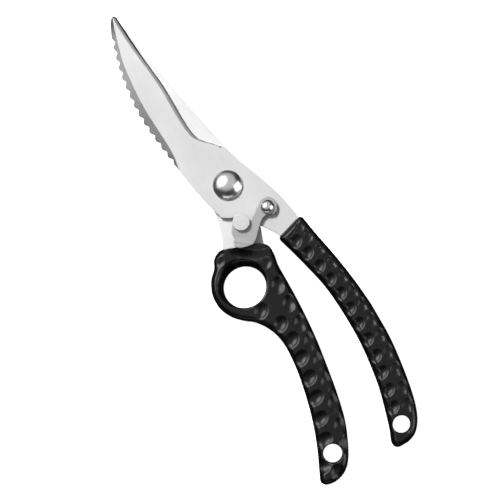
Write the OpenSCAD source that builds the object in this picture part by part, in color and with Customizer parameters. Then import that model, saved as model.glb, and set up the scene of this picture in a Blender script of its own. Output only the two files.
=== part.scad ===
// Poultry shears: two pivoted steel blades with moulded grips, a locking latch and a hidden return spring.
// Lies flat: +Y runs to the blade tips, +Z is the front face, z = 0 is the surface it rests on.

/* [Blades] */
// Thickness of each steel blade plate
plate_t = 2.5; // [2:0.1:3]
// Running gap between the two plates
plate_gap = 0.1; // [0.05:0.05:0.2]
// Number of scallops in the scaler edge
teeth = 14; // [8:1:16]
// Pitch of the scaler scallops
tooth_pitch = 5; // [4.6:0.1:5]
// Depth of the scaler scallops
tooth_depth = 1.2; // [0.6:0.1:1.5]

/* [Pivot] */
// Radius of the pivot bolt's shank
pivot_r = 3.5; // [3:0.1:3.8]
// Radial running clearance in the pivots
run_clear = 0.05; // [0.02:0.01:0.09]
// Radius of the pivot bolt's domed head
pivot_head_r = 7.3; // [6:0.1:8]
// Height of the pivot bolt's domed head
pivot_head_h = 4.6; // [3:0.1:5]
// Angle that the blades open through
open_angle = 28; // [20:1:30]

/* [Latch] */
// Thickness of the latch lever
lever_t = 1.8; // [1.5:0.1:2]
// Degrees that the lever turns for each degree of opening
latch_ratio = 1.2; // [1:0.1:1.4]
// Radius of the catch stud's shank
stud_r = 1.8; // [1.5:0.1:2]
// Radius of the catch stud's flat head
stud_head_r = 4.2; // [3.8:0.1:4.4]
// Radius of the latch rivet's domed head
rivet_head_r = 3.5; // [3:0.1:3.8]

/* [Grips] */
// Half of the grips' thickness
grip_h = 6; // [5.6:0.1:6]
// Radius of the rounded grip edges
grip_edge = 1.5; // [1:0.1:1.8]
// Radius of the finger ring's hole
ring_r = 11.2; // [10:0.1:11.5]
// Radius of the hanging hole in the ring grip
hang_l_r = 4.7; // [4:0.1:4.8]
// Radius of the hanging hole in the plain grip
hang_r_r = 4.4; // [4:0.1:4.6]

/* [Hidden] */
$fn = 64;
eps = 0.01;

// Everything below is drawn about the pivot axis, with the blades meeting at z = 0, and is then moved
// so that the whole object is centred in X and Y and its lowest face is at z = 0.
off = [1, 26.5, 6];

steel = "gainsboro";
black = "dimgray";

rb = -plate_gap;                 // front face of the rear plate
rz = rb - plate_t;               // back face of the rear plate
wash_t = 0.6;                    // latch washer
lev_z = plate_t + wash_t;        // underside of the lever
lev_top = lev_z + lever_t;
head_z = lev_top + 0.3;          // underside of the stud's head
latch_c = [11.5, -19.2];         // lever's axis
stud_c = [-3.3, -19.4];          // catch stud
ring_c = [-17.9, -46.6];
hang_l = [-21.1, -139.8];
hang_r = [15.2, -144.3];
pin_a = 115;                     // direction of the stop pin
pin_d = 11.4;                    // its distance from the pivot
pin_r = 1.5;

// ---- curves ----
function cr(p0, p1, p2, p3, t) =
    0.5*((2*p1) + (p2 - p0)*t + (2*p0 - 5*p1 + 4*p2 - p3)*t*t + (3*p1 - p0 - 3*p2 + p3)*t*t*t);
// open smooth curve through the points of p, n steps a span
function smooth(p, n) = let (m = len(p)) concat(
    [for (i = [0:m-2], k = [0:n-1]) cr(p[max(i-1, 0)], p[i], p[i+1], p[min(i+2, m-1)], k/n)], [p[m-1]]);
// outline without repeated points
function tidy(p) = let (m = len(p)) [for (i = [0:m-1]) if (norm(p[i] - p[(i+1)%m]) > 0.02) p[i]];
// closed smooth curve
function loop(p, n) = let (m = len(p))
    [for (i = [0:m-1], k = [0:n-1]) cr(p[(i+m-1)%m], p[i], p[(i+1)%m], p[(i+2)%m], k/n)];
function unit(v) = v/norm(v);
// outline moved inwards by d; the outline runs clockwise
function inset(p, d) = let (m = len(p))
    [for (i = [0:m-1]) let (t = unit(p[(i+1)%m] - p[(i+m-1)%m])) p[i] + d*[t[1], -t[0]]];
function rot2(v, a) = [v[0]*cos(a) - v[1]*sin(a), v[0]*sin(a) + v[1]*cos(a)];

// ---- front blade ----
tip = [-7.5, 100.5];
// edge line that the scaler crests touch, from the tip downwards
crest_line = [[-13.2, 91.5], [-16.5, 81], [-18.8, 71], [-20.1, 61], [-20.7, 51.5], [-20.2, 41.5], [-19.1, 31.5], [-17.6, 21]];
function scaler(n) = let (c = smooth(crest_line, 24), m = len(c) - 1)
    [for (i = [0:n]) let (u = i/n, k = min(floor(u*m), m-1), f = u*m - k, q = c[k]*(1-f) + c[k+1]*f,
        t = unit(c[k+1] - c[k]), y = (91.5 - q[1])/tooth_pitch,
        d = (y >= teeth) ? 0 : tooth_depth*pow(0.5 - 0.5*cos(360*y), 1.3))
        q + d*[-t[1], t[0]]];
front_right = concat(
    smooth([tip, [-6.3, 99.2], [-6, 97], [-5.7, 92], [-5.4, 86], [-4.7, 77], [-3.7, 67], [-2.9, 59], [-2.7, 50], [-2.7, 40],
            [-2.4, 33], [-1.3, 28], [1, 24.5], [4, 21.3], [5.4, 19.4]], 4),
    smooth([[7.3, 17.2], [8.8, 15], [11, 8], [14, 0], [17, -8], [19.8, -17], [21.8, -27], [22.6, -34]], 3));
front_left_top = smooth([[-13.2, 91.5], [-12, 94], [-11, 96], [-10, 98], [-8.5, 99.8], tip], 2);
// lower left of the front plate, round the catch stud to its neck
front_left = smooth([[-17.2, 19.5], [-16.3, 13], [-15.2, 6], [-13.9, 0], [-12.5, -6], [-12, -8.5], [-11, -11]], 3);
front_arc = [for (a = [228:4:260]) 16.4*[cos(a), sin(a)]];
// shoulder of the front plate that meets the catch stud
front_shoulder = [[-1.1, -16.7], [-0.9, -19], [-1, -21], [-0.1, -22.6], [1.7, -24], [4.3, -25.7]];
front_neck = [[6, -28], [8, -31], [10, -34.5], [11, -38]];
tang_r = smooth([[22.6, -34], [23.5, -45], [26, -62], [27.3, -80], [27.4, -100], [26, -118], [24, -130]], 3);
tang_l = smooth([[20.5, -130], [21.5, -118], [22.6, -100], [22.2, -80], [20.4, -62], [16.5, -47], [11, -38]], 3);

function back(p) = [for (i = [len(p)-1:-1:0]) p[i]];
// clockwise: tip, right side, tang, neck, left side
front_outline = tidy(concat(front_right, tang_r, tang_l, back(front_neck), back(front_shoulder), back(front_arc),
    back(front_left), back(scaler(168)), front_left_top));

scaler_line = smooth([[-7.9, 99.6], [-10, 93.5], [-12.2, 86], [-14.4, 77.5], [-15.7, 67], [-16.4, 57], [-16.3, 47], [-15.8, 37],
    [-15.5, 29], [-16.1, 22], [-17.6, 17]], 3);
bevel_line = smooth([[-7.7, 99.6], [-7.8, 94], [-7.3, 84], [-6.2, 73], [-5.3, 65], [-4.8, 56], [-4.8, 45], [-4.6, 37],
    [-3.9, 31], [-2.5, 27.5], [0.5, 24], [3, 21.6], [5.6, 18.4]], 3);

// Cutter that grinds a bevel down from the line p, on the side s (1 right, -1 left): first w1 wide and h1 deep,
// then on at the slope h2 over w2.
module grind(p, s, w1, h1, w2, h2) {
    m = len(p);
    nrm = [for (i = [0:m-1]) let (t = unit(p[min(i+1, m-1)] - p[max(i-1, 0)])) s*[-t[1], t[0]]];
    v = [for (i = [0:m-1]) each [
        concat(p[i], [plate_t]), concat(p[i] + nrm[i]*w1, [plate_t - h1]),
        concat(p[i] + nrm[i]*(w1 + w2), [plate_t - h1 - h2]),
        concat(p[i] + nrm[i]*(w1 + w2), [plate_t + 2]), concat(p[i], [plate_t + 2])]];
    f = concat([for (i = [0:m-2], k = [0:4]) let (a = 5*i + k, b = 5*i + (k+1)%5)
            (s < 0) ? [a, b, b+5, a+5] : [a, a+5, b+5, b]],
        [(s < 0) ? [4, 3, 2, 1, 0] : [0, 1, 2, 3, 4]],
        [(s < 0) ? [for (k = [0:4]) 5*(m-1) + k] : [for (k = [4:-1:0]) 5*(m-1) + k]]);
    polyhedron(v, f, convexity = 6);
}

module at_frame() { translate(off) children(); }

module front_blade() color(steel) at_frame() difference() {
    linear_extrude(plate_t) polygon(front_outline);
    grind(bevel_line, 1, 1.15, 0.7, 3.2, 3.4);
    grind(scaler_line, -1, 5.5, 1.5, 1.5, 0.3);
    translate([0, 0, -1]) cylinder(r = pivot_r + run_clear, h = plate_t + 2);
    // half of the spring's chamber
    translate([0, 0, -1]) cylinder(r = spring_room, h = 1 + spring_cut);
    translate([latch_c[0], latch_c[1], -1]) cylinder(r = 1.9 + run_clear, h = plate_t + 2);
    // blind arc slot for the stop pin
    stop_slot();
    // slot for the spring's leg
    rotate([0, 0, spring_a1]) translate([0, -0.75, -1]) cube([spring_room + 3.2, 1.5, 1 + spring_cut]);
}

stop_pin_z = 1.3;
// blind arc slot, round at both ends, that the stop pin runs in
module stop_slot() {
    a0 = pin_a - open_angle;
    w = pin_r + 0.3;
    translate([0, 0, -1]) linear_extrude(1 + stop_pin_z + 0.2) polygon(concat(
        [for (a = [a0:4:pin_a]) (pin_d + w)*[cos(a), sin(a)]],
        [for (b = [20:20:160]) pin_d*[cos(pin_a), sin(pin_a)] + w*[cos(pin_a + b), sin(pin_a + b)]],
        [for (a = [pin_a:-4:a0]) (pin_d - w)*[cos(a), sin(a)]],
        [for (b = [200:20:340]) pin_d*[cos(a0), sin(a0)] + w*[cos(a0 + b), sin(a0 + b)]]));
}

// ---- rear blade ----
rear_outline = tidy(concat(
    smooth([[-7.8, 97.5], [-6.6, 95.5], [-5.2, 90], [-4, 80.5]], 2),
    smooth([[-2.9, 75], [-1, 65.5], [1.6, 50], [4.8, 35], [8, 20], [9, 15], [10, 8], [10.4, 0], [9.8, -8], [7.6, -16], [5.2, -22], [3.8, -26],
            [2.3, -30], [1, -34], [0.2, -40]], 3),
    smooth([[-0.6, -50], [-2.5, -62], [-3.6, -75], [-4.2, -90], [-6, -106], [-10, -122], [-13, -131]], 3),
    smooth([[-16, -130], [-13, -118], [-10.4, -104], [-9, -88], [-8.6, -75], [-7.5, -62], [-5.2, -50], [-5, -40]], 3),
    smooth([[-9, -34.2], [-16, -32.5], [-18.5, -29], [-17.6, -25.6], [-15.3, -21], [-13.6, -15], [-12.5, -10], [-11.9, -5], [-11.8, 4], [-11.6, 14], [-12.2, 26],
            [-13, 38], [-13.2, 50], [-12.8, 60], [-12, 70], [-10.9, 80], [-9.7, 89], [-8.8, 94], [-7.8, 97.5]], 3)));
rear_edge = smooth([[-7.2, 99], [-8.3, 89], [-9.7, 79], [-10.7, 69], [-11.4, 59], [-11.7, 49], [-11.5, 38], [-10.9, 29], [-10.6, 24]], 3);

module rear_blade() color(steel) at_frame() difference() {
    translate([0, 0, rz]) linear_extrude(plate_t) polygon(rear_outline);
    // cutting edge, ground on the back
    mirror([0, 0, 1]) translate([0, 0, plate_gap]) grind(rear_edge, -1, 0.8, 0.8, 2.4, 3);
    translate([0, 0, rz - 1]) cylinder(r = pivot_r + run_clear, h = plate_t + 2);
    translate([0, 0, rb - spring_cut]) cylinder(r = spring_room, h = 3);
    translate([stud_c[0], stud_c[1], rz - 1]) cylinder(r = stud_r, h = plate_t + 2);
    rotate([0, 0, pin_a]) translate([pin_d, 0, rz - 1]) cylinder(r = pin_r, h = plate_t + 2);
    rotate([0, 0, spring_a0]) translate([0, -0.75, rb - spring_cut]) cube([spring_room + 3.2, 1.5, 3]);
}

// ---- pivot ----
spring_room = 8.2;   // radius of the chamber that holds the spring
spring_cut = 1.5;    // its depth in each plate
spring_r = 6.3;      // mean radius of the coil
wire_r = 0.5;
spring_a0 = 245;     // direction of the leg in the rear plate
spring_a1 = 155;     // direction of the leg in the front plate

// dome of radius r and height h, standing on z = 0
module dome(r, h, rim) {
    R = (r*r + (h - rim)*(h - rim))/(2*(h - rim));
    a1 = asin(r/R);
    rotate_extrude() polygon(concat([[0, 0], [r, 0]],
        [for (k = [0:16]) let (a = a1*(1 - k/16)) [R*sin(a), rim + R*cos(a) - (R - (h - rim))]]));
}

module pivot_bolt() color(steel) at_frame() {
    translate([0, 0, plate_t + 0.05]) dome(pivot_head_r, pivot_head_h, 0.5);
    translate([0, 0, rz - 2.4]) cylinder(r = pivot_r, h = plate_t + 2.4 - rz + 0.3);
}

module pivot_washer() color(steel) at_frame() translate([0, 0, rz - 0.5]) difference() {
    cylinder(r = 6.6, h = 0.5);
    translate([0, 0, -1]) cylinder(r = pivot_r + run_clear, h = 3);
}

module pivot_nut() color(steel) at_frame() difference() {
    h = off[2] + rz - 0.5;
    mirror([0, 0, 1]) translate([0, 0, -rz + 0.5]) rotate_extrude()
        polygon(concat([[0, 0], [6.2, 0], [6.2, 0.9]],
            [for (k = [1:8]) [3.4 + 2.8*cos(90*k/8), 0.9 + (h - 0.9)*sin(90*k/8)]], [[0, h]]));
    translate([0, 0, rz - 2.5]) cylinder(r = pivot_r + run_clear, h = 6);
}

// torsion spring: under two turns with a leg at each end, swept as one tube of 8 sides
spring_turns = 1.75;
function spring_pt(u) = let (a = spring_a0 + 360*spring_turns*u, z = rb - spring_cut + wire_r + 0.1
        + u*(2*spring_cut + plate_gap - 2*wire_r - 0.2)) [spring_r*cos(a), spring_r*sin(a), z];
function spring_path() = let (n = 50, e0 = spring_pt(0), e1 = spring_pt(1))
    concat([[10.6*cos(spring_a0), 10.6*sin(spring_a0), e0[2]], [8.2*cos(spring_a0), 8.2*sin(spring_a0), e0[2]],
            [7*cos(spring_a0 + 2), 7*sin(spring_a0 + 2), e0[2]]],
        [for (i = [1:n-1]) spring_pt(i/n)],
        [[7*cos(spring_a1 - 2), 7*sin(spring_a1 - 2), e1[2]], [8.2*cos(spring_a1), 8.2*sin(spring_a1), e1[2]],
         [10.6*cos(spring_a1), 10.6*sin(spring_a1), e1[2]]]);
module return_spring() color("silver") at_frame() {
    p = spring_path();
    m = len(p);
    v = [for (i = [0:m-1]) let (t = unit(p[min(i+1, m-1)] - p[max(i-1, 0)]), x = unit(cross(t, [0, 0, 1])), y = cross(x, t))
        each [for (k = [0:7]) p[i] + wire_r*(cos(45*k)*x + sin(45*k)*y)]];
    f = concat([for (i = [0:m-2], k = [0:7]) [8*i + k, 8*i + (k+1)%8, 8*i + 8 + (k+1)%8, 8*i + 8 + k]],
        [[for (k = [7:-1:0]) k]], [[for (k = [0:7]) 8*(m-1) + k]]);
    polyhedron(v, f, convexity = 8);
}

module stop_pin() color(steel) at_frame() rotate([0, 0, pin_a]) translate([pin_d, 0, rz])
    cylinder(r = pin_r, h = stop_pin_z - rz);

// ---- latch ----
// Outline of the lever, clockwise from the top of its round end
lever_outline = concat(
    [for (a = [100:-20:-80]) latch_c + 4.9*[cos(a), sin(a)]],
    smooth([[10.4, -22.9], [8, -22.7], [6, -23.5], [4, -25.2], [3, -26.2], [1.4, -27.7], [0, -29], [-1.2, -30.3], [-2.3, -31.1], [-3.8, -31.6],
        [-5.8, -31.4], [-7.9, -31], [-10.2, -30.1], [-11.6, -28.9], [-12, -27.4], [-11.3, -25.8], [-10.4, -25], [-10.2, -23.7],
        [-10, -21.8], [-9.2, -20.2], [-8.4, -19], [-7.6, -18], [-6.7, -17.1]], 2),
    [[-5.4, -16.7], [-2, -19.8], [-0.6, -21.4], [1, -20.7], [4, -18.7], [8, -16.2]]);
// Centre of the stud as the lever sees it when the blades are open by a
function stud_seen(a) = latch_c + rot2(rot2(stud_c, -a) - latch_c, -latch_ratio*a);
slot_r = stud_r + 0.25;
module stud_slot() {
    n = 8;
    c = [for (i = [0:n]) stud_seen(i*open_angle/n*0.6)];
    t = [for (i = [0:n]) unit(c[min(i+1, n)] - c[max(i-1, 0)])];
    polygon(concat([for (i = [0:n]) c[i] + slot_r*[-t[i][1], t[i][0]]],
        back([for (i = [0:n]) c[i] + slot_r*[t[i][1], -t[i][0]]])));
}
module latch_lever() color(steel) at_frame() difference() {
    union() {
        translate([0, 0, lev_z]) linear_extrude(lever_t) polygon(lever_outline);
        // turned-up thumb tab
        translate([0, 0, lev_top - eps]) linear_extrude(2.2 + eps)
            polygon([[-11.4, -28.7], [-10, -29.9], [-7.8, -30.8], [-5.8, -31.2], [-4.4, -31.3], [-5, -30.4], [-7.2, -29.4], [-9.3, -28.4], [-10.4, -27], [-11.7, -27.4]]);
    }
    translate([latch_c[0], latch_c[1], lev_z - 1]) cylinder(r = 1.9 + run_clear, h = 9);
    translate([stud_c[0], stud_c[1], lev_z - 1]) cylinder(r = slot_r, h = lever_t + 2);
    translate([0, 0, lev_z - 1]) linear_extrude(lever_t + 2) stud_slot();
}

module latch_washer() color(steel) at_frame() translate([latch_c[0], latch_c[1], plate_t]) difference() {
    cylinder(r = 4.2, h = wash_t - 0.05);
    translate([0, 0, -1]) cylinder(r = 1.9 + run_clear, h = 4);
}

module latch_rivet() color(steel) at_frame() translate([latch_c[0], latch_c[1], 0]) {
    translate([0, 0, lev_top + 0.1]) dome(rivet_head_r, 2.7, 0.3);
    translate([0, 0, -0.9]) cylinder(r = 1.9, h = lev_top + 0.1 + 0.9 + 0.2);
    translate([0, 0, -0.9]) cylinder(r = 2.9, h = 0.85);
}

module catch_stud() color(steel) at_frame() translate([stud_c[0], stud_c[1], 0]) rotate_extrude()
    polygon([[0, rz - 0.8], [2.8, rz - 0.8], [3, rz - 0.6], [3, rz], [stud_r, rz], [stud_r, head_z], [stud_head_r, head_z],
        [stud_head_r, head_z + 1.5], [stud_head_r - 0.3, head_z + 1.8], [0, head_z + 1.8]]);

// ---- grips ----
plain_ctl = [[11.6, -34.1], [15, -33.1], [19, -31.9], [21.8, -31.3], [23.4, -31.6], [24.2, -33], [24.7, -36.5],
    [26, -44], [28, -54], [29.8, -65], [31, -75], [31.8, -85], [32, -95], [31.6, -106], [30.5, -116], [29, -126], [27.2, -135],
    [25.1, -142], [22.4, -147.4], [18.8, -151.4], [14.4, -153.2], [10, -153.5], [7.2, -152.5], [6.5, -149.5],
    [9, -143], [12, -133], [14.6, -123], [16.4, -112], [17.6, -101], [17.9, -90], [17.4, -76], [16.3, -66], [14, -55.5],
    [11, -44], [9.3, -38.2], [8.9, -36.2], [9.8, -34.7]];
ring_ctl = [[-20, -26.3], [-16, -27], [-11, -29], [-6, -31], [-2.5, -31.9], [0.8, -33.8], [2.8, -36.6], [2.9, -41],
    [1.9, -47], [1.8, -56], [1.6, -66], [0.9, -78], [-0.2, -89], [-2, -101], [-4.4, -115], [-7.5, -128], [-11.5, -138],
    [-16, -146.2], [-20.7, -150.7], [-26.3, -152.4], [-31.2, -151.7], [-33.2, -149], [-31.3, -144.3], [-27.3, -135.7],
    [-23.7, -126.7], [-20.3, -116], [-18, -106.5], [-16, -96], [-15, -85], [-15.6, -77.5], [-18, -71], [-22, -65.4],
    [-26.5, -61.8], [-31, -56.8], [-33.8, -50], [-33.4, -43], [-30.5, -36.8], [-26.5, -32.7], [-24, -28.5]];

// Moulded grip: an outline whose edges step back in a rounded run, top and bottom
module grip_body(ctl, n) {
    p = loop(ctl, n);
    q = 3;
    for (k = [0:q]) let (a = 90*k/(q + 1), z = grip_h - grip_edge*(1 - cos(a)), d = grip_edge*(1 - sin(a)))
        translate([0, 0, -z]) linear_extrude(2*z) polygon(inset(p, d));
}

// room for the steel tang inside the grip
module plain_grip() color(black) at_frame() difference() {
    grip_body(plain_ctl, 3);
    linear_extrude(plate_t) polygon(front_outline);
    translate([hang_r[0], hang_r[1], -10]) cylinder(r = hang_r_r, h = 20);
}

module ring_grip() color(black) at_frame() difference() {
    grip_body(ring_ctl, 3);
    translate([0, 0, rz]) linear_extrude(plate_t) polygon(rear_outline);
    translate([ring_c[0], ring_c[1], -10]) cylinder(r = ring_r, h = 20);
    translate([hang_l[0], hang_l[1], -10]) cylinder(r = hang_l_r, h = 20);
    // step that lets the latch pass over the top of the grip
    translate([0, 0, lev_z - 0.4]) cylinder(r = 36.8, h = 10);
}

front_blade();
rear_blade();
pivot_bolt();
pivot_nut();
pivot_washer();
return_spring();
stop_pin();
latch_lever();
latch_washer();
latch_rivet();
catch_stud();
plain_grip();
ring_grip();
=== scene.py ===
import math
import bpy
import numpy as np
from mathutils import Matrix, Quaternion, Vector, geometry


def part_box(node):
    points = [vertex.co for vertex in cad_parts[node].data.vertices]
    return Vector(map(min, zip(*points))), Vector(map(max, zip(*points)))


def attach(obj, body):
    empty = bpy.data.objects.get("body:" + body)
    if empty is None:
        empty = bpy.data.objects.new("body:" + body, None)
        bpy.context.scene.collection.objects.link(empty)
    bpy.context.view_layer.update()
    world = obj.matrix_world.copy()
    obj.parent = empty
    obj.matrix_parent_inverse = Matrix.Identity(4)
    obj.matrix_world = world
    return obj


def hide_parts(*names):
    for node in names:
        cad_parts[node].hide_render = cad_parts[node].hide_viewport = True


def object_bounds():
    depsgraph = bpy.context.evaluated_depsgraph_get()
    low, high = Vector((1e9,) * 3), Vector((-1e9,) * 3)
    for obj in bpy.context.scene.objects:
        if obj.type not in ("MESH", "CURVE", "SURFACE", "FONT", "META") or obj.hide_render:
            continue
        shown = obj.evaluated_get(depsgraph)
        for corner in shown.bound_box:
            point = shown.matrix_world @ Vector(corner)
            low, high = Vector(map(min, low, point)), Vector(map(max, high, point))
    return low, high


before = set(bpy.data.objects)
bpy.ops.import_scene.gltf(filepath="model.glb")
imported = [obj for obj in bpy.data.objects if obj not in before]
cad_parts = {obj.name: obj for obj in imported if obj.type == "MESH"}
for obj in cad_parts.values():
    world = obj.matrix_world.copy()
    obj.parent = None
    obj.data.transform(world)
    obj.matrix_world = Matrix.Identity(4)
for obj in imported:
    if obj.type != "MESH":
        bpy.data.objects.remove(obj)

CAD_BOX = [[float(c) for c in v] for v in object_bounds()]
MM = 0.001

# ---------------------------------------------------------------- frame
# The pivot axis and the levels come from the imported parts. Shapes below are in millimetres about the pivot axis,
# with z = 0 where the two plates meet.
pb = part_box("pivot_bolt")
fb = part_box("front_blade")
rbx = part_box("rear_blade")
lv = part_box("latch_lever")
OX = 0.5 * (pb[0][0] + pb[1][0]) / MM
OY = 0.5 * (pb[0][1] + pb[1][1]) / MM
OZ = fb[0][2] / MM
PLATE_T = (fb[1][2] - fb[0][2]) / MM
REAR_TOP = rbx[1][2] / MM - OZ
REAR_BOT = rbx[0][2] / MM - OZ
LEV_Z = lv[0][2] / MM - OZ
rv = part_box("latch_rivet")
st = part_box("catch_stud")
LC = (0.5 * (rv[0][0] + rv[1][0]) / MM - OX, 0.5 * (rv[0][1] + rv[1][1]) / MM - OY)
SC = (0.5 * (st[0][0] + st[1][0]) / MM - OX, 0.5 * (st[0][1] + st[1][1]) / MM - OY)
GRIP_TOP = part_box("plain_grip")[1][2] / MM - OZ
FLOOR_Z = CAD_BOX[0][2]


def place(v):
    v = np.asarray(v, float)
    return (v + np.array([OX, OY, OZ])) * MM


# ---------------------------------------------------------------- curves
def cr(p0, p1, p2, p3, t):
    return 0.5 * ((2 * p1) + (p2 - p0) * t + (2 * p0 - 5 * p1 + 4 * p2 - p3) * t * t + (3 * p1 - p0 - 3 * p2 + p3) * t ** 3)


def smooth(p, n):
    p = np.asarray(p, float)
    m = len(p)
    out = []
    for i in range(m - 1):
        for k in range(n):
            out.append(cr(p[max(i - 1, 0)], p[i], p[i + 1], p[min(i + 2, m - 1)], k / n))
    out.append(p[-1])
    return np.array(out)


def loop(p, n):
    p = np.asarray(p, float)
    m = len(p)
    return np.array([cr(p[(i - 1) % m], p[i], p[(i + 1) % m], p[(i + 2) % m], k / n) for i in range(m) for k in range(n)])


def resample(p, step, closed):
    p = np.asarray(p, float)
    q = np.vstack([p, p[:1]]) if closed else p
    s = np.concatenate([[0], np.cumsum(np.hypot(*np.diff(q, axis=0).T))])
    n = max(3, int(round(s[-1] / step)))
    t = np.linspace(0, s[-1], n + 1)
    r = np.stack([np.interp(t, s, q[:, 0]), np.interp(t, s, q[:, 1])], 1)
    return r[:-1] if closed else r


def tidy(p, eps=0.02):
    out = [p[0]]
    for q in p[1:]:
        if np.hypot(*(q - out[-1])) > eps:
            out.append(q)
    if np.hypot(*(out[0] - out[-1])) <= eps:
        out.pop()
    return np.array(out)


def ccw(p):
    a = np.sum(p[:, 0] * np.roll(p[:, 1], -1) - np.roll(p[:, 0], -1) * p[:, 1])
    return p if a > 0 else p[::-1]


def dist(P, L, closed=True):
    """Distance of each point of P from the polyline L."""
    A = L
    B = np.roll(L, -1, axis=0)
    if not closed:
        A, B = L[:-1], L[1:]
    out = np.empty(len(P))
    D = B - A
    dd = np.maximum((D ** 2).sum(1), 1e-12)
    for i in range(0, len(P), 3000):
        Q = P[i:i + 3000, None, :] - A[None]
        t = np.clip((Q * D[None]).sum(2) / dd[None], 0, 1)
        R = Q - t[..., None] * D[None]
        out[i:i + 3000] = np.sqrt((R ** 2).sum(2).min(1))
    return out


def inside(P, L):
    x, y = P[:, 0][:, None], P[:, 1][:, None]
    res = np.zeros(len(P), bool)
    A = L
    B = np.roll(L, -1, axis=0)
    for i in range(0, len(P), 6000):
        xx, yy = x[i:i + 6000], y[i:i + 6000]
        c = (A[None, :, 1] > yy) != (B[None, :, 1] > yy)
        with np.errstate(divide="ignore", invalid="ignore"):
            xi = A[None, :, 0] + (yy - A[None, :, 1]) * (B[None, :, 0] - A[None, :, 0]) / (B[None, :, 1] - A[None, :, 1])
        res[i:i + 6000] = ((c & (xx < xi)).sum(1) % 2) == 1
    return res


# ---------------------------------------------------------------- mesh makers
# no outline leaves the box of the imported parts
BOX_LO = np.array([CAD_BOX[0][0] / MM - OX + 0.005, CAD_BOX[0][1] / MM - OY + 0.005])
BOX_HI = np.array([CAD_BOX[1][0] / MM - OX - 0.005, CAD_BOX[1][1] / MM - OY - 0.005])


def add_mesh(name, V, F, sharp=35.0):
    me = bpy.data.meshes.new(name)
    me.from_pydata([tuple(v) for v in place(V)], [], [tuple(int(i) for i in f) for f in F])
    me.validate()
    me.update()
    ob = bpy.data.objects.new(name, me)
    bpy.context.scene.collection.objects.link(ob)
    for p in me.polygons:
        p.use_smooth = True
    if sharp:
        me.set_sharp_from_angle(angle=math.radians(sharp))
    return ob


def region(name, outer, ztop, zbot, holes=(), lines=(), insets=(), grid=1.0, edge=0.5, line_step=0.6, sharp=35.0, walls=1, points=()):
    """A plate or moulding: the outline is meshed once, and lifted to a top and a bottom surface that a wall joins."""
    outer = ccw(resample(outer, edge, True))
    outer = np.clip(outer, BOX_LO, BOX_HI)
    loops = [outer] + [ccw(resample(h, edge, True)) for h in holes]
    pts, edges = [], []
    for L in loops:
        b = len(pts)
        pts += list(L)
        edges += [(b + i, b + (i + 1) % len(L)) for i in range(len(L))]
    lin = []
    for L in lines:
        L = resample(L, line_step, False)
        ok = inside(L, outer) & (np.min([dist(L, q) for q in loops], axis=0) > 0.1)
        b = len(pts)
        idx = {}
        for i in range(len(L)):
            if ok[i]:
                idx[i] = len(pts)
                pts.append(L[i])
        edges += [(idx[i], idx[i + 1]) for i in range(len(L) - 1) if i in idx and i + 1 in idx]
        if ok.any():
            lin.append(L[ok])
    extra = []

    def far(Q, dmin, dl):
        ok = inside(Q, outer)
        for h in loops[1:]:
            ok &= ~inside(Q, h)
        Q = Q[ok]
        d = np.min([dist(Q, q) for q in loops], axis=0)
        ok = d > dmin
        if lin:
            dl_ = np.min([dist(Q, q, False) for q in lin], axis=0)
            ok &= dl_ > dl
        return Q[ok]

    for d in insets:
        for k, L in enumerate(loops):
            t = np.roll(L, -1, axis=0) - np.roll(L, 1, axis=0)
            t /= np.hypot(*t.T)[:, None]
            n = np.stack([-t[:, 1], t[:, 0]], 1) * (1 if k == 0 else -1)
            Q = L + n * d
            Q = far(Q, d * 0.93, 0.15)
            if len(Q):
                extra.append(Q)
    dlast = (insets[-1] if len(insets) else 0) + 0.4 * grid
    lo, hi = outer.min(0), outer.max(0)
    xs = np.arange(lo[0], hi[0], grid)
    ys = np.arange(lo[1], hi[1], grid * 0.866)
    G = np.array([(x + (0.5 * grid if j % 2 else 0), y) for j, y in enumerate(ys) for x in xs])
    extra.append(far(G, dlast, 0.35 * grid))
    for Q in points:
        extra.append(far(np.asarray(Q, float), 0.2, 0.15))
    for Q in extra:
        pts += list(Q)
    vv, ee, ff, *_ = geometry.delaunay_2d_cdt([Vector((float(p[0]), float(p[1]))) for p in pts], edges, [], 0, 1e-5)
    P = np.array([(v[0], v[1]) for v in vv])
    T = np.array([f for f in ff])
    C = P[T].mean(1)
    keep = inside(C, outer)
    for h in loops[1:]:
        keep &= ~inside(C, h)
    T = T[keep]
    a, b, c = P[T[:, 0]], P[T[:, 1]], P[T[:, 2]]
    ar = (b[:, 0] - a[:, 0]) * (c[:, 1] - a[:, 1]) - (b[:, 1] - a[:, 1]) * (c[:, 0] - a[:, 0])
    T = T[np.abs(ar) > 1e-9]
    ar = ar[np.abs(ar) > 1e-9]
    T[ar < 0] = T[ar < 0][:, ::-1]
    used = np.unique(T)
    remap = -np.ones(len(P), int)
    remap[used] = np.arange(len(used))
    P = P[used]
    T = remap[T]
    n = len(P)
    zt, zb = ztop(P, loops), zbot(P, loops)
    E = np.vstack([T[:, [0, 1]], T[:, [1, 2]], T[:, [2, 0]]])
    key = {}
    for u, w in E:
        key[(u, w)] = 1
    border = [(u, w) for (u, w) in key if (w, u) not in key]
    V = [np.column_stack([P, zt]), np.column_stack([P, zb])]
    F = [tuple(t) for t in T] + [tuple(t[::-1] + n) for t in T]
    bv = sorted({u for e in border for u in e})
    rows = [{v: v for v in bv}]
    base = 2 * n
    for r in range(1, walls):
        f = r / walls
        W = np.array([[P[v, 0], P[v, 1], zt[v] * (1 - f) + zb[v] * f] for v in bv])
        V.append(W)
        rows.append({v: base + i for i, v in enumerate(bv)})
        base += len(bv)
    rows.append({v: v + n for v in bv})
    for r in range(len(rows) - 1):
        A, B = rows[r], rows[r + 1]
        for u, w in border:
            F.append((A[w], A[u], B[u], B[w]))
    return add_mesh(name, np.vstack(V), F, sharp)


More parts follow.
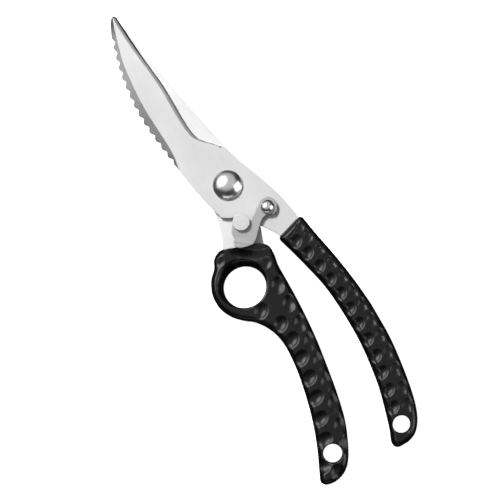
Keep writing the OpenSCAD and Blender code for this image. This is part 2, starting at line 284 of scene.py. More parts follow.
def lathe(name, profile, centre, n=96, sharp=35.0):
    """Turned piece: profile of (radius, z) from the axis to the axis."""
    V, F = [], []
    ring = []
    for r, z in profile:
        if r < 1e-6:
            ring.append([len(V)])
            V.append((centre[0], centre[1], z))
        else:
            ring.append(list(range(len(V), len(V) + n)))
            for k in range(n):
                a = 2 * math.pi * k / n
                V.append((centre[0] + r * math.cos(a), centre[1] + r * math.sin(a), z))
    for A, B in zip(ring[:-1], ring[1:]):
        for k in range(n):
            k2 = (k + 1) % n
            if len(A) == 1 and len(B) == 1:
                continue
            if len(A) == 1:
                F.append((A[0], B[k2], B[k]))
            elif len(B) == 1:
                F.append((A[k], A[k2], B[0]))
            else:
                F.append((A[k], A[k2], B[k2], B[k]))
    return add_mesh(name, np.array(V), F, sharp)


def arc(r0, z0, a0, a1, rad, n):
    return [(r0 + rad * math.cos(math.radians(a0 + (a1 - a0) * k / n)), z0 + rad * math.sin(math.radians(a0 + (a1 - a0) * k / n))) for k in range(n + 1)]


# ---------------------------------------------------------------- materials
def nodes_of(name):
    m = bpy.data.materials.new(name)
    m.use_nodes = True
    nt = m.node_tree
    return m, nt, nt.nodes["Principled BSDF"]


def coords(nt, scale, rot=(0, 0, 0)):
    tc = nt.nodes.new("ShaderNodeTexCoord")
    mp = nt.nodes.new("ShaderNodeMapping")
    mp.inputs["Scale"].default_value = scale
    mp.inputs["Rotation"].default_value = rot
    nt.links.new(tc.outputs["Object"], mp.inputs["Vector"])
    return mp.outputs["Vector"]


def noise(nt, vec, scale, detail=4.0, rough=0.55):
    n = nt.nodes.new("ShaderNodeTexNoise")
    n.inputs["Scale"].default_value = scale
    n.inputs["Detail"].default_value = detail
    n.inputs["Roughness"].default_value = rough
    nt.links.new(vec, n.inputs["Vector"])
    return n.outputs["Fac"]


def remap(nt, fac, lo, hi, a=0.3, b=0.7):
    r = nt.nodes.new("ShaderNodeMapRange")
    r.inputs["From Min"].default_value = a
    r.inputs["From Max"].default_value = b
    r.inputs["To Min"].default_value = lo
    r.inputs["To Max"].default_value = hi
    nt.links.new(fac, r.inputs["Value"])
    return r.outputs["Result"]


def bump(nt, height, strength, distance, normal=None):
    b = nt.nodes.new("ShaderNodeBump")
    b.inputs["Strength"].default_value = strength
    b.inputs["Distance"].default_value = distance
    nt.links.new(height, b.inputs["Height"])
    if normal is not None:
        nt.links.new(normal, b.inputs["Normal"])
    return b.outputs["Normal"]


def tint(nt, fac, c0, c1):
    r = nt.nodes.new("ShaderNodeValToRGB")
    r.color_ramp.elements[0].position = 0.3
    r.color_ramp.elements[1].position = 0.7
    r.color_ramp.elements[0].color = (*c0, 1)
    r.color_ramp.elements[1].color = (*c1, 1)
    nt.links.new(fac, r.inputs["Fac"])
    return r.outputs["Color"]


def steel(name, c0, c1, r0, r1, grain=(60, 1400, 1400), rot=(0, 0, 0), bumps=0.05, metal=1.0):
    """Ground steel: fine parallel grinding marks and faint cloudiness."""
    m, nt, b = nodes_of(name)
    b.inputs["Metallic"].default_value = metal
    v = coords(nt, grain, rot)
    fine = noise(nt, v, 1.0, 3.0, 0.6)
    cloud = noise(nt, coords(nt, (60, 60, 60)), 1.0, 3.0, 0.5)
    mix = nt.nodes.new("ShaderNodeMath")
    mix.operation = "MULTIPLY_ADD"
    mix.inputs[1].default_value = 0.35
    nt.links.new(fine, mix.inputs[0])
    sc = nt.nodes.new("ShaderNodeMath")
    sc.operation = "MULTIPLY"
    sc.inputs[1].default_value = 0.65
    nt.links.new(cloud, sc.inputs[0])
    nt.links.new(sc.outputs[0], mix.inputs[2])
    nt.links.new(tint(nt, mix.outputs[0], c0, c1), b.inputs["Base Color"])
    nt.links.new(remap(nt, mix.outputs[0], r0, r1), b.inputs["Roughness"])
    nt.links.new(bump(nt, fine, bumps, 0.00002), b.inputs["Normal"])
    return m


def polished(name):
    """Polished steel with faint hairline swirls and a little haze."""
    m, nt, b = nodes_of(name)
    b.inputs["Metallic"].default_value = 1.0
    v = coords(nt, (900, 900, 900))
    swirl = noise(nt, v, 1.0, 5.0, 0.65)
    haze = noise(nt, coords(nt, (220, 220, 220)), 1.0, 2.0, 0.5)
    nt.links.new(tint(nt, haze, (0.60, 0.60, 0.605), (0.68, 0.68, 0.685)), b.inputs["Base Color"])
    nt.links.new(remap(nt, haze, 0.20, 0.27), b.inputs["Roughness"])
    nt.links.new(bump(nt, swirl, 0.03, 0.00001), b.inputs["Normal"])
    return m


def plastic(name):
    """Black moulded plastic: spark-eroded fine grain, a soft polish on the high spots and faint flow marks."""
    m, nt, b = nodes_of(name)
    grain = noise(nt, coords(nt, (2600, 2600, 2600)), 1.0, 4.0, 0.6)
    flow = noise(nt, coords(nt, (90, 40, 90)), 1.0, 3.0, 0.5)
    wear = noise(nt, coords(nt, (420, 420, 420)), 1.0, 5.0, 0.6)
    nt.links.new(tint(nt, flow, (0.0008, 0.0008, 0.0009), (0.0018, 0.0018, 0.0019)), b.inputs["Base Color"])
    nt.links.new(remap(nt, wear, 0.24, 0.32), b.inputs["Roughness"])
    b.inputs["Specular IOR Level"].default_value = 0.29
    n1 = bump(nt, wear, 0.10, 0.00006)
    nt.links.new(bump(nt, grain, 0.16, 0.00003, n1), b.inputs["Normal"])
    return m


M_FRONT = steel("front_plate_steel", (0.385, 0.385, 0.387), (0.445, 0.445, 0.447), 0.34, 0.41, grain=(1500, 70, 1500), metal=0.1)
M_BEVEL = steel("cutting_bevel_steel", (0.36, 0.36, 0.363), (0.46, 0.46, 0.463), 0.28, 0.38, grain=(70, 1900, 1900), bumps=0.10, metal=0.9)
# darker copy of the cutting-bevel steel: painted shade on the outer band of the cutting bevel
M_EDGE_SHADE = steel("edge_bevel_painted_shade_steel", (0.14, 0.14, 0.142), (0.23, 0.23, 0.232), 0.28, 0.38, grain=(70, 1900, 1900), bumps=0.12, metal=0.9)
# serrated bevel steel: base colour painted dark, painted shade for the dark reflection on this bevel
M_SCALER_SHADE = steel("scaler_bevel_painted_shade_steel", (0.15, 0.15, 0.152), (0.25, 0.25, 0.252), 0.34, 0.48, grain=(110, 1500, 1500), bumps=0.14, metal=0.85)
M_REAR = steel("rear_plate_steel", (0.465, 0.465, 0.468), (0.53, 0.53, 0.533), 0.34, 0.41, grain=(1500, 70, 1500), metal=0.1)
M_LATCH = steel("latch_steel", (0.25, 0.25, 0.252), (0.31, 0.31, 0.312), 0.33, 0.42, grain=(700, 700, 700), metal=0.3)
M_STUD = steel("stud_steel", (0.37, 0.37, 0.372), (0.45, 0.45, 0.452), 0.38, 0.46, grain=(600, 600, 600), metal=0.12)
M_SPRING = steel("spring_steel", (0.42, 0.42, 0.43), (0.5, 0.5, 0.51), 0.3, 0.4)
M_POLISH = polished("polished_steel")
M_GRIP = plastic("black_grip_plastic")


def dress(ob, *mats):
    ob.data.materials.clear()
    for m in mats:
        ob.data.materials.append(m)


# ---------------------------------------------------------------- front blade
crest_line = [[-13.2, 91.5], [-16.5, 81], [-18.8, 71], [-20.1, 61], [-20.7, 51.5], [-20.2, 41.5], [-19.1, 31.5], [-17.6, 21]]
TIP = [-7.5, 100.5]
cl = smooth(crest_line, 24)


def scaler(n, depth=1.2, pitch=5.0, teeth=14):
    m = len(cl) - 1
    out = []
    for i in range(n + 1):
        u = i / n
        k = min(int(u * m), m - 1)
        f = u * m - k
        q = cl[k] * (1 - f) + cl[k + 1] * f
        t = cl[k + 1] - cl[k]
        t = t / np.hypot(*t)
        y = (91.5 - q[1]) / pitch
        d = 0 if y >= teeth else depth * (0.5 - 0.5 * math.cos(2 * math.pi * y)) ** 1.3
        out.append(q + d * np.array([-t[1], t[0]]))
    return np.array(out)


edge_r = smooth([TIP, [-6.3, 99.2], [-6, 97], [-5.7, 92], [-5.4, 86], [-4.7, 77], [-3.7, 67], [-2.9, 59], [-2.7, 50], [-2.7, 40],
                 [-2.4, 33], [-1.3, 28], [1, 24.5], [4, 21.3], [5.4, 19.4]], 8)
right_low = smooth([[7.3, 17.2], [8.8, 15], [11, 8], [14, 0], [17, -8], [19.8, -17], [21.8, -27], [22.6, -34], [23.2, -42]], 6)
left_top = smooth([[-13.2, 91.5], [-12, 94], [-11, 96], [-10, 98], [-8.5, 99.8], TIP], 6)
left_low = smooth([[-17.2, 19.5], [-16.3, 13], [-15.2, 6], [-13.9, 0], [-12.5, -6], [-12, -8.5], [-11, -11]], 6)
arc_low = np.array([[16.4 * math.cos(math.radians(a)), 16.4 * math.sin(math.radians(a))] for a in range(228, 261, 2)])
shoulder = np.array([[-1.4, -16.6], [-1.3, -19], [-1.5, -21], [-0.5, -22.6], [1.5, -24], [4.3, -25.7], [6, -28], [8, -31], [10, -34.5], [12, -39], [13.5, -42]])
front_out = tidy(np.vstack([edge_r, right_low, shoulder[::-1], arc_low[::-1], left_low[::-1], scaler(420)[::-1], left_top]))

bevel_ln = smooth([[-7.7, 99.6], [-7.8, 94], [-7.3, 84], [-6.2, 73], [-5.3, 65], [-4.8, 56], [-4.8, 45], [-4.6, 37],
                   [-3.9, 31], [-2.5, 27.5], [0.5, 24], [3, 21.6], [5.6, 18.4]], 8)
scaler_ln = smooth([[-7.9, 99.6], [-10, 93.5], [-12.2, 86], [-14.4, 77.5], [-15.7, 67], [-16.4, 57], [-16.3, 47], [-15.8, 37],
                    [-15.5, 29], [-16.1, 22], [-17.6, 17]], 8)


def at_y(L, y):
    o = np.argsort(L[:, 1])
    return np.interp(y, L[o, 1], L[o, 0])


left_env = np.vstack([cl, left_top])
mid_ln = np.array([[0.45 * x + 0.55 * at_y(edge_r, y), y] for x, y in bevel_ln if 21 < y < 99.3])


def front_top(P, loops):
    x, y = P.T
    z = np.full(len(P), PLATE_T)
    xb, xe = at_y(bevel_ln, y), at_y(edge_r, y)
    w = np.maximum(xe - xb, 0.05)
    t = np.clip((x - xb) / w, 0, 1)
    m = (y > 18.4) & (y < 99.7)
    fade = np.clip((y - 18.4) / 5.0, 0, 1)
    dz = np.where(t < 0.55, 0.42 * t / 0.55, 0.42 + 1.7 * (t - 0.55) / 0.45) * (0.85 + 0.15 * fade)
    z = np.where(m, z - dz, z)
    xs, xc = at_y(scaler_ln, y), at_y(left_env, y)
    w2 = np.maximum(xs - xc, 0.4)
    t2 = np.clip((xs - x) / w2, 0, 1.05)
    fade2 = np.clip((y - 17) / 6.0, 0, 1)
    z = np.where((y > 17) & (y < 99.7), z - 1.45 * t2 * fade2, z)
    z = np.where(y >= 99.7, np.minimum(z, 1.2 - 0.8 * np.clip(y - 99.7, 0, 1)), z)
    d = dist(P, loops[0])
    rim = np.clip(1 - d / 0.45, 0, 1) ** 2
    z = z - 0.22 * rim * (y < 19)
    return np.maximum(z, 0.14)


def front_bot(P, loops):
    d = dist(P, loops[0])
    return 0.0 + 0.08 * np.clip(1 - d / 0.18, 0, 1)


pr = 3.55
circ = lambda c, r, n=72: np.array([[c[0] + r * math.cos(2 * math.pi * k / n), c[1] + r * math.sin(2 * math.pi * k / n)] for k in range(n)])
front = region("front_blade_ground", front_out, front_top, front_bot, holes=[circ((0, 0), pr), circ(LC, 1.95, 36)],
               lines=[bevel_ln, mid_ln, scaler_ln], insets=(0.09, 0.18), grid=1.6, edge=0.3, line_step=0.5, sharp=9.0)
dress(front, M_FRONT, M_BEVEL, M_SCALER_SHADE, M_EDGE_SHADE)
# bevel faces get their steels; the serrated bevel and the outer band of the cutting bevel take darker steels, which
# paint shade on them
for p in front.data.polygons:
    c = np.array(p.center) / MM - np.array([OX, OY, OZ])
    if p.normal.z > 0.3 and p.normal.z < 0.995 and c[1] > 17:
        xb, xe = at_y(bevel_ln, c[1]), at_y(edge_r, c[1])
        p.material_index = 2 if c[0] < xb - 0.1 else 1 if c[0] < xb + 0.55 * (xe - xb) else 3
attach(front, "front")
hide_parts("front_blade")

# ---------------------------------------------------------------- rear blade
spine = smooth([[-7.8, 97.5], [-6.6, 95.5], [-5.2, 90], [-4, 80.5], [-2.9, 75], [-1, 65.5], [1.6, 50], [4.8, 35], [8, 20], [9, 15]], 8)
rear_r = smooth([[9, 15], [10, 8], [10.4, 0], [9.8, -8], [7.6, -16], [5.2, -22], [3.8, -26], [2.3, -30], [1, -34], [0.2, -40], [-0.4, -46]], 6)
rear_l = smooth([[-4.8, -46], [-5, -40], [-9, -34.2], [-16, -32.5], [-18.5, -29], [-17.6, -25.6], [-15.3, -21], [-13.6, -15], [-12.5, -10], [-11.9, -5], [-11.8, 4],
                 [-11.6, 14], [-12.2, 26], [-13, 38], [-13.2, 50], [-12.8, 60], [-12, 70], [-10.9, 80], [-9.7, 89], [-8.8, 94], [-7.8, 97.5]], 6)
rear_out = tidy(np.vstack([spine, rear_r, rear_l]))
rear_edge = smooth([[-7.2, 99], [-8.3, 89], [-9.7, 79], [-10.7, 69], [-11.4, 59], [-11.7, 49], [-11.5, 38], [-10.9, 29], [-10.6, 24]], 6)


def rear_top(P, loops):
    x, y = P.T
    z = np.full(len(P), REAR_TOP)
    d = dist(P, spine, False)
    z = z - 0.07 * np.clip(1 - d / 0.55, 0, 1) * (y > 14)
    d = dist(P, rear_r, False)
    z = z - 0.55 * np.clip(1 - d / 1.5, 0, 1) ** 1.3 * np.clip((-22 - y) / 2, 0, 1)
    d = dist(P, loops[0])
    return z - 0.15 * np.clip(1 - d / 0.18, 0, 1) ** 2


def rear_bot(P, loops):
    x, y = P.T
    z = np.full(len(P), REAR_BOT)
    xi, xe = at_y(rear_edge, y), at_y(rear_l, y)
    w = np.maximum(xi - xe, 0.3)
    t = np.clip((xi - x) / w, 0, 1)
    z = np.where((y > 24) & (y < 97.4), z + 1.6 * t * np.clip((y - 24) / 8, 0, 1), z)
    d = dist(P, loops[0])
    return z + 0.12 * np.clip(1 - d / 0.18, 0, 1)


rear = region("rear_blade_ground", rear_out, rear_top, rear_bot, holes=[circ((0, 0), pr)],
              lines=[rear_edge], insets=(0.09, 0.18, 0.5), grid=2.0, edge=0.4, line_step=0.6, sharp=9.0)
dress(rear, M_REAR, M_BEVEL)
for p in rear.data.polygons:
    c = np.array(p.center) / MM - np.array([OX, OY, OZ])
    if p.normal.z < -0.3 and p.normal.z > -0.995 and c[1] > 24:
        p.material_index = 1
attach(rear, "rear")
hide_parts("rear_blade")

# ---------------------------------------------------------------- latch lever
def rot2(v, a):
    return np.array([v[0] * math.cos(a) - v[1] * math.sin(a), v[0] * math.sin(a) + v[1] * math.cos(a)])


def stud_seen(deg, ratio=1.2):
    a = math.radians(deg)
    return np.array(LC) + rot2(rot2(np.array(SC), -a) - np.array(LC), -ratio * a)


inner = []
for dg in (4.5, 3.0, 1.5, 0.0):
    c, c2 = stud_seen(dg), stud_seen(dg + 0.5)
    t = (c2 - c) / np.hypot(*(c2 - c))
    inner.append(c + 2.08 * np.array([-t[1], t[0]]))
inner += [np.array(SC) + 2.08 * np.array([math.cos(math.radians(a)), math.sin(math.radians(a))]) for a in range(230, 331, 14)]
lever_out = np.vstack([
    [[LC[0] + 4.9 * math.cos(math.radians(a)), LC[1] + 4.9 * math.sin(math.radians(a))] for a in range(112, -81, -8)],
    smooth([[10.4, -22.9], [8, -22.7], [6, -23.5], [4, -25.2], [3, -26.2], [1.4, -27.7], [0, -29], [-1.2, -30.3], [-2.3, -31.1], [-3.8, -31.6],
            [-5.8, -31.4], [-7.9, -31], [-10.2, -30.1], [-11.6, -28.9], [-12, -27.4], [-11.3, -25.8], [-10.4, -25], [-10.2, -23.7],
            [-10, -21.8], [-9.2, -20.2], [-8.4, -19], [-7.6, -18.1], [-7.0, -17.7]], 5),
    inner, [[-0.6, -21.4], [1, -20.7], [4, -18.7], [8, -16.0]]])
lever_out = tidy(lever_out)


def swept(P):
    """Distance from each point, on the rear half, to the area the lever passes over between closed and fully open."""
    out = np.full(len(P), 99.0)
    for deg in range(0, 29, 2):
        a, b = math.radians(-deg), math.radians(-1.2 * deg)
        Q = np.stack([P[:, 0] * math.cos(a) - P[:, 1] * math.sin(a), P[:, 0] * math.sin(a) + P[:, 1] * math.cos(a)], 1) - np.array(LC)
        Q = np.stack([Q[:, 0] * math.cos(b) - Q[:, 1] * math.sin(b), Q[:, 0] * math.sin(b) + Q[:, 1] * math.cos(b)], 1) + np.array(LC)
        d = dist(Q, lever_out)
        out = np.minimum(out, np.where(inside(Q, lever_out), 0, d))
    return out





# ---------------------------------------------------------------- grips
plain_ctl = [[11.6, -34.1], [15, -33.1], [19, -31.9], [21.8, -31.3], [23.4, -31.6], [24.2, -33], [24.7, -36.5],
             [26, -44], [28, -54], [29.8, -65], [31, -75], [31.8, -85], [32, -95], [31.6, -106], [30.5, -116], [29, -126], [27.2, -135],
             [25.1, -142], [22.4, -147.4], [18.8, -151.4], [14.4, -153.2], [10, -153.5], [7.2, -152.5], [6.5, -149.5],
             [9, -143], [12, -133], [14.6, -123], [16.4, -112], [17.6, -101], [17.9, -90], [17.4, -76], [16.3, -66], [14, -55.5],
             [11, -44], [9.3, -38.2], [8.9, -36.2], [9.8, -34.7]]
ring_ctl = [[-20, -26.3], [-16, -27], [-11, -29], [-6, -31], [-2.5, -31.9], [0.8, -33.8], [2.8, -36.6], [2.9, -41],
            [1.9, -47], [1.8, -56], [1.6, -66], [0.9, -78], [-0.2, -89], [-2, -101], [-4.4, -115], [-7.5, -128], [-11.5, -138],
            [-16, -146.2], [-20.7, -150.7], [-26.3, -152.4], [-31.2, -151.7], [-33.2, -149], [-31.3, -144.3], [-27.3, -135.7],
            [-23.7, -126.7], [-20.3, -116], [-18, -106.5], [-16, -96], [-15, -85], [-15.6, -77.5], [-18, -71], [-22, -65.4],
            [-26.5, -61.8], [-31, -56.8], [-33.8, -50], [-33.4, -43], [-30.5, -36.8], [-26.5, -32.7], [-24, -28.5]]
GH = GRIP_TOP


def dent(P, c, ang, a, b, depth, steep):
    """Oval finger dent with its long axis at ang: a gentle fall on the blade side and a rounded wall on the other."""
    u0 = np.array([math.cos(math.radians(ang)), math.sin(math.radians(ang))])
    v0 = np.array([-u0[1], u0[0]])
    Q = P - np.array(c)
    u, v = (Q @ u0) / a, (Q @ v0) / b
    r = np.hypot(u, v) + 1e-6
    p = 1.75 - steep * v / r
    k = 0.05
    x = np.clip((1 - np.clip(r, 0, 1.6) ** p) / k, -30, 30)
    return depth * k * np.log1p(np.exp(x))


def profile(d, e, h0, h1):
    t = np.clip(d / e, 0, 1)
    return h0 + (h1 - h0) * np.sqrt(np.clip(1 - (1 - t) ** 2, 0, 1))


plain_in = [(15.2, -41), (17.2, -48.8), (19, -57.2), (20.3, -65.5), (21.4, -74), (21.6, -82.7), (21.6, -91.3), (21.5, -100), (21, -109),
            (19.7, -117.5), (18, -126.5), (15.7, -135)]
plain_out = [(21.4, -35.2), (22, -41.5), (24.2, -49.3), (26, -58.3), (27.3, -67), (28, -75.7), (28.3, -84), (28.3, -92.7), (28, -101.5),
             (27.3, -110.5), (26, -119.5), (24.3, -129), (22.3, -137.5)]
ring_left = [(-16.8, -62), (-11.8, -72.3), (-10.8, -81.7), (-11.3, -91.7), (-12.7, -102), (-14.8, -112), (-18, -122), (-21.3, -132), (-28, -143)]
ring_right = [(-4, -54.5), (-3.7, -65), (-3.3, -76), (-3.7, -86.3), (-4.8, -97), (-6.7, -107.7), (-9, -118.5), (-11.8, -129.3), (-14.5, -138.5), (-24.5, -148.5)]
ring_small = [(-22.5, -31.5), (-13, -32), (-2, -34.8), (-2.5, -43)]
ring_right = [(x + 1.0, y - 0.6) for x, y in ring_right]
RING_DENTS = [(ring_left, 38, 12, 4.7, 3.5, 1.45, 0.4), (ring_right, 50, 60, 4.6, 3.6, 1.35, 0.0), (ring_small, 40, 40, 3.1, 2.3, 0.75, 0.4)]
HANG_R = (15.2, -144.3)
HANG_L = (-21.1, -139.8)


def grip_dents(P, groups):
    z = np.zeros(len(P))
    for cs, ang0, ang1, a, b, depth, steep in groups:
        for i, c in enumerate(cs):
            f = i / max(1, len(cs) - 1)
            z = np.maximum(z, dent(P, c, ang0 + (ang1 - ang0) * f, a, b, depth, steep))
    return z


def plain_top(P, loops):
    d = dist(P, loops[0])
    z = profile(d, 3.4, 1.6, GH)
    z = z - 0.35 * np.clip(1 - (d - 3.0) / 4.0, 0, 1) ** 2 * (d > 3.0)
    z = z - grip_dents(P, [(plain_in, 36, 28, 3.9, 2.8, 1.15, 0.4), (plain_out, 44, 36, 4.0, 3.0, 0.75, 0.0)]) * np.clip(d / 1.2, 0, 1)
    dh = np.hypot(*(P - np.array(HANG_R)).T) - 4.4
    z = z - 0.55 * np.clip(1 - dh / 0.6, 0, 1) ** 2
    return np.minimum(z, GH)


plain_bot = lambda P, loops: -plain_top(P, loops)
plain = region("plain_grip_moulding", loop(plain_ctl, 8), plain_top, plain_bot, holes=[circ(HANG_R, 4.4, 64)],
               insets=(0.06, 0.18, 0.38, 0.65, 1.0, 1.4, 1.9, 2.45, 3.0), grid=0.52, edge=0.5, sharp=78.0, walls=4)
dress(plain, M_GRIP)
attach(plain, "front")
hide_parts("plain_grip")

# finger hole: a throat, and a rim that leans back towards the blades
throat = np.array([[-17.7 + 10.6 * math.cos(2 * math.pi * k / 96), -47.8 + 10.1 * math.sin(2 * math.pi * k / 96)] for k in range(96)])
RIM_C, RIM_R = np.array([-18.0, -45.9]), 12.3


def ring_top(P, loops):
    d = dist(P, loops[0])
    z = profile(d, 3.2, 1.5, GH)
    z = z - grip_dents(P, RING_DENTS) * np.clip(d / 1.2, 0, 1)
    # finger hole: from the rim down to the throat
    dt = dist(P, throat)
    dr = RIM_R - np.hypot(*(P - RIM_C).T)
    wdt = np.maximum(dt + dr, 0.3)
    w = np.clip(dt / wdt, 0, 1)
    low = GH - np.clip(1.7 * wdt, 0.6, 4.8)
    zr = low + (GH - low) * (w - 0.12 * np.clip((w - 0.7) / 0.3, 0, 1) ** 2)
    z = np.where(dr > 0, np.minimum(z, zr), z)
    ro = np.clip(1 + dr / 0.9, 0, 1)
    z = z - np.where(dr <= 0, 0.22 * ro ** 2, 0)
    # relief under the path that the latch sweeps as the handles open
    near = (np.hypot(*P.T) < 48) & (P[:, 1] > -46)
    lim = np.full(len(P), 99.0)
    lim[near] = LEV_Z - 0.45 + 0.75 * np.clip(swept(P[near]) - 0.6, 0, 9)
    k = 0.55
    z = np.where(near, -k * np.log(np.exp(-np.clip(z, -9, 9) / k) + np.exp(-np.clip(lim, -9, 12) / k)), z)
    dh = np.hypot(*(P - np.array(HANG_L)).T) - 4.7
    z = z - 0.55 * np.clip(1 - dh / 0.6, 0, 1) ** 2
    return np.clip(z, 0.6, GH)


def ring_bot(P, loops):
    d = dist(P, loops[0])
    z = profile(d, 3.2, 1.5, GH)
    z = z - grip_dents(P, RING_DENTS) * np.clip(d / 1.2, 0, 1)
    dt = dist(P, loops[1])
    z = z - 1.3 * np.clip(1 - dt / 1.3, 0, 1) ** 2
    dh = np.hypot(*(P - np.array(HANG_L)).T) - 4.7
    z = z - 0.55 * np.clip(1 - dh / 0.6, 0, 1) ** 2
    return -np.clip(z, 0.6, GH)


ringg = region("ring_grip_moulding", loop(ring_ctl, 8), ring_top, ring_bot, holes=[throat, circ(HANG_L, 4.7, 64)],
               insets=(0.06, 0.18, 0.38, 0.65, 1.0, 1.4, 1.9, 2.45, 3.0), grid=0.52, edge=0.5, sharp=78.0, walls=4)
dress(ringg, M_GRIP)
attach(ringg, "rear")
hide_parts("ring_grip")

# ---------------------------------------------------------------- pivot, rivet and stud
def dome_profile(r, h, rim, z0, n=28, round_=0.18):
    hh = h - rim
    R = (r * r + hh * hh) / (2 * hh)
    a1 = math.asin(min(1, r / R))
    pts = [(0, z0), (r - 0.25, z0), (r, z0 + 0.12), (r, z0 + rim)]
    pts += [(R * math.sin(a1 * (1 - k / n)), z0 + rim + R * math.cos(a1 * (1 - k / n)) - (R - hh)) for k in range(1, n)]
    pts.append((0, z0 + h))
    return pts


hr = 0.5 * (pb[1][0] - pb[0][0]) / MM
top = pb[1][2] / MM - OZ
bolt = lathe("pivot_bolt_dome", dome_profile(hr, top - (PLATE_T + 0.05) - 0.1, 1.0, PLATE_T + 0.05, 40), (0, 0), 144)
shank = lathe("pivot_bolt_shank", [(0, pb[0][2] / MM - OZ), (3.2, pb[0][2] / MM - OZ), (3.5, pb[0][2] / MM - OZ + 0.3), (3.5, PLATE_T + 0.2), (0, PLATE_T + 0.2)], (0, 0), 64)
for o in (bolt, shank):
    dress(o, M_POLISH)
    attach(o, "rear")
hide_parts("pivot_bolt")

rr = 0.5 * (rv[1][0] - rv[0][0]) / MM
lt = LEV_Z + 1.8
rivet = lathe("latch_rivet_dome", dome_profile(rr, rv[1][2] / MM - OZ - (lt + 0.1), 0.6, lt + 0.1, 32), LC, 112)
rshank = lathe("latch_rivet_shank", [(0, -0.9), (2.6, -0.9), (2.9, -0.6), (2.9, -0.05), (1.9, -0.05), (1.9, lt + 0.2), (0, lt + 0.2)], LC, 48)
for o in (rivet, rshank):
    dress(o, M_POLISH)
    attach(o, "front")
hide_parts("latch_rivet")

sr = 0.5 * (st[1][0] - st[0][0]) / MM
s0 = st[0][2] / MM - OZ
s1 = st[1][2] / MM - OZ
sh = s1 - 1.8
stud = lathe("catch_stud_turned", [(0, s0), (2.7, s0), (3, s0 + 0.25), (3, REAR_BOT), (1.8, REAR_BOT), (1.8, sh), (sr - 0.2, sh), (sr, sh + 0.2), (sr, s1 - 0.32),
                                   (sr - 0.07, s1 - 0.14), (sr - 0.22, s1 - 0.03), (sr - 0.42, s1), (sr - 0.62, s1 - 0.035), (sr - 0.85, s1 - 0.01), (2.2, s1 - 0.005), (0, s1)], SC, 96, 30)
dress(stud, M_STUD)
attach(stud, "rear")
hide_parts("catch_stud")

def tab_lift(P):
    a, b = np.array([-11.2, -24.9]), np.array([-3.0, -31.3])
    t = (b - a) / np.hypot(*(b - a))
    n = np.array([t[1], -t[0]])
    n = n if n[1] < 0 else -n
    d = (P - a) @ n
    f = np.clip(d / 2.3, 0, 1)
    return 2.15 * f * f * (3 - 2 * f)


def lever_top(P, loops):
    d = dist(P, loops[0])
    z = lt - 0.32 * (1 - np.sqrt(np.clip(1 - (1 - np.clip(d / 0.45, 0, 1)) ** 2, 0, 1)))
    return z + tab_lift(P)


def lever_bot(P, loops):
    d = dist(P, loops[0])
    return LEV_Z + 0.12 * np.clip(1 - d / 0.15, 0, 1) + tab_lift(P) * np.clip((d - 0.9) / 1.0, 0, 1) * 0.8


lever = region("latch_lever_stamped", tidy(lever_out), lever_top, lever_bot, holes=[circ(LC, 1.95, 36)], insets=(0.05, 0.14, 0.28, 0.45),
               grid=0.55, edge=0.3, sharp=35, walls=3)
dress(lever, M_LATCH)
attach(lever, "latch")
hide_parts("latch_lever")

# ---------------------------------------------------------------- carried-over parts
for n, m in (("pivot_nut", M_POLISH), ("pivot_washer", M_POLISH), ("return_spring", M_SPRING), ("stop_pin", M_SPRING), ("latch_washer", M_LATCH)):
    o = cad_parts[n]
    for i in range(max(1, len(o.material_slots))):
        if len(o.material_slots) == 0:
            o.data.materials.append(m)
        else:
            o.material_slots[i].material = m

# ---------------------------------------------------------------- floor, light and camera
floor_me = bpy.data.meshes.new("floor")
N = 24
S = 2.2
fv, ff = [], []
for j in range(N + 1):
    for i in range(N + 1):
        fv.append((-S / 2 + S * i / N, -S / 2 + S * j / N, FLOOR_Z - 0.0002))
for j in range(N):
    for i in range(N):
        a = j * (N + 1) + i
        ff.append((a, a + 1, a + N + 2, a + N + 1))
floor_me.from_pydata(fv, [], ff)
floor = bpy.data.objects.new("floor", floor_me)
bpy.context.scene.collection.objects.link(floor)
fm, fnt, fbs = nodes_of("pale_floor")
fbs.inputs["Roughness"].default_value = 0.9
fbs.inputs["Specular IOR Level"].default_value = 0.0
fbs.inputs["Emission Color"].default_value = (1, 1, 1, 1)
fbs.inputs["Emission Strength"].default_value = 1.0
fnt.links.new(tint(fnt, noise(fnt, coords(fnt, (8, 8, 8)), 1.0), (0.50, 0.50, 0.50), (0.53, 0.53, 0.53)), fbs.inputs["Base Color"])
dress(floor, fm)
floor.visible_glossy = False
floor.visible_diffuse = False

C = Vector(tuple(place([-6.4, -33.2, 0.0])))


def direction(img_right, img_up, elev):
    """A direction given by its way across the picture and its height."""
    v = np.array([0.866, -0.5]) * img_right + np.array([0.5, 0.866]) * img_up
    v /= np.hypot(*v)
    e = math.radians(elev)
    return Vector((v[0] * math.cos(e), v[1] * math.cos(e), math.sin(e)))


def area(name, d, dist_, sx, sy, power, glossy=True, diffuse=True, turn=0, oval=False):
    li = bpy.data.lights.new(name, "AREA")
    li.shape = "ELLIPSE" if oval else "RECTANGLE"
    li.size = sx
    li.size_y = sy
    li.energy = power
    ob = bpy.data.objects.new(name, li)
    ob.location = C + d * dist_
    ob.rotation_euler = ((-d).to_track_quat("-Z", "Y") @ Quaternion((0, 0, 1), math.radians(turn))).to_euler()
    bpy.context.scene.collection.objects.link(ob)
    ob.visible_glossy = glossy
    ob.visible_diffuse = diffuse
    ob.visible_camera = False
    return ob


def watts(radiance, sx, sy):
    return radiance * math.pi * sx * sy


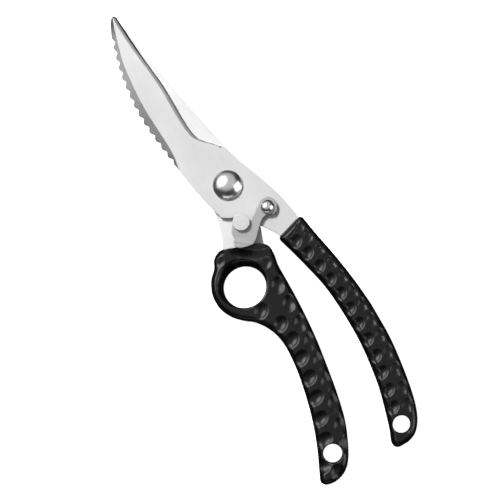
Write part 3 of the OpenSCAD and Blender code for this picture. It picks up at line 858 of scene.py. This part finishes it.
area("tip_light", Vector((-0.02, 0.40, 0.45)).normalized(), 0.55, 0.22, 0.22, watts(3.0, 0.22, 0.22))
area("key", direction(-0.72, 0.60, 48), 2.0, 2.3, 1.9, watts(0.5, 2.3, 1.9), diffuse=False, oval=True)
area("key_mid", direction(-0.76, 0.50, 49), 1.9, 1.9, 1.6, watts(1.3, 1.9, 1.6), diffuse=False, oval=True)
area("key_core", direction(-0.78, 0.44, 48), 1.8, 1.2, 1.05, watts(4.2, 1.2, 1.05), diffuse=False, oval=True)
area("key_shade", direction(-0.62, 0.78, 47), 1.8, 0.24, 0.24, watts(320.0, 0.24, 0.24), glossy=False)
area("right", direction(0.97, -0.14, 24), 2.0, 1.4, 1.4, watts(3.5, 1.4, 1.4), diffuse=False, turn=45)
area("left", direction(-1.0, 0.05, 32), 2.0, 1.5, 1.1, watts(0.5, 1.5, 1.1), diffuse=False, oval=True)
area("table_edge", direction(0.0, -1.0, 10), 2.0, 1.7, 0.42, watts(1.5, 1.7, 0.42), diffuse=False)

# soft sky: pale over most of the upper half, falling to dark low down, and sooner on the handle side
world = bpy.data.worlds.new("studio")
bpy.context.scene.world = world
world.use_nodes = True
wt = world.node_tree
bg = wt.nodes["Background"]
bg.inputs["Color"].default_value = (1, 1, 1, 1)
sky = direction(-0.35, 0.94, 66)
tc = wt.nodes.new("ShaderNodeTexCoord")
dp = wt.nodes.new("ShaderNodeVectorMath")
dp.operation = "DOT_PRODUCT"
dp.inputs[1].default_value = tuple(sky)
wt.links.new(tc.outputs["Generated"], dp.inputs[0])
mr = wt.nodes.new("ShaderNodeMapRange")
mr.interpolation_type = "SMOOTHSTEP"
mr.inputs["From Min"].default_value = math.cos(math.radians(66))
mr.inputs["From Max"].default_value = math.cos(math.radians(46))
mr.inputs["To Min"].default_value = 0.045
mr.inputs["To Max"].default_value = 0.72
wt.links.new(dp.outputs["Value"], mr.inputs["Value"])
lp = wt.nodes.new("ShaderNodeLightPath")
less = wt.nodes.new("ShaderNodeMath")
less.operation = "MULTIPLY_ADD"
less.inputs[1].default_value = -0.55
less.inputs[2].default_value = 1.0
wt.links.new(lp.outputs["Is Diffuse Ray"], less.inputs[0])
mul = wt.nodes.new("ShaderNodeMath")
mul.operation = "MULTIPLY"
wt.links.new(mr.outputs["Result"], mul.inputs[0])
wt.links.new(less.outputs["Value"], mul.inputs[1])
wt.links.new(mul.outputs["Value"], bg.inputs["Strength"])

TILT = math.radians(2.0)
DIST = 1.5
back = Vector((0, -math.sin(TILT), math.cos(TILT)))
up = Vector((0.5, 0.8660254, 0))
y = (up - back * up.dot(back)).normalized()
x = y.cross(back)
cam_d = bpy.data.cameras.new("camera")
cam_d.sensor_width = 36.0
cam_d.lens = 36.0 * DIST / 0.24575
cam_d.clip_start = 0.01
cam_d.clip_end = 20
cam = bpy.data.objects.new("camera", cam_d)
bpy.context.scene.collection.objects.link(cam)
cam.matrix_world = Matrix(((x[0], y[0], back[0], C[0] + back[0] * DIST), (x[1], y[1], back[1], C[1] + back[1] * DIST),
                           (x[2], y[2], back[2], C[2] + back[2] * DIST), (0, 0, 0, 1)))
bpy.context.scene.camera = cam
bpy.context.scene.view_settings.view_transform = "Standard"
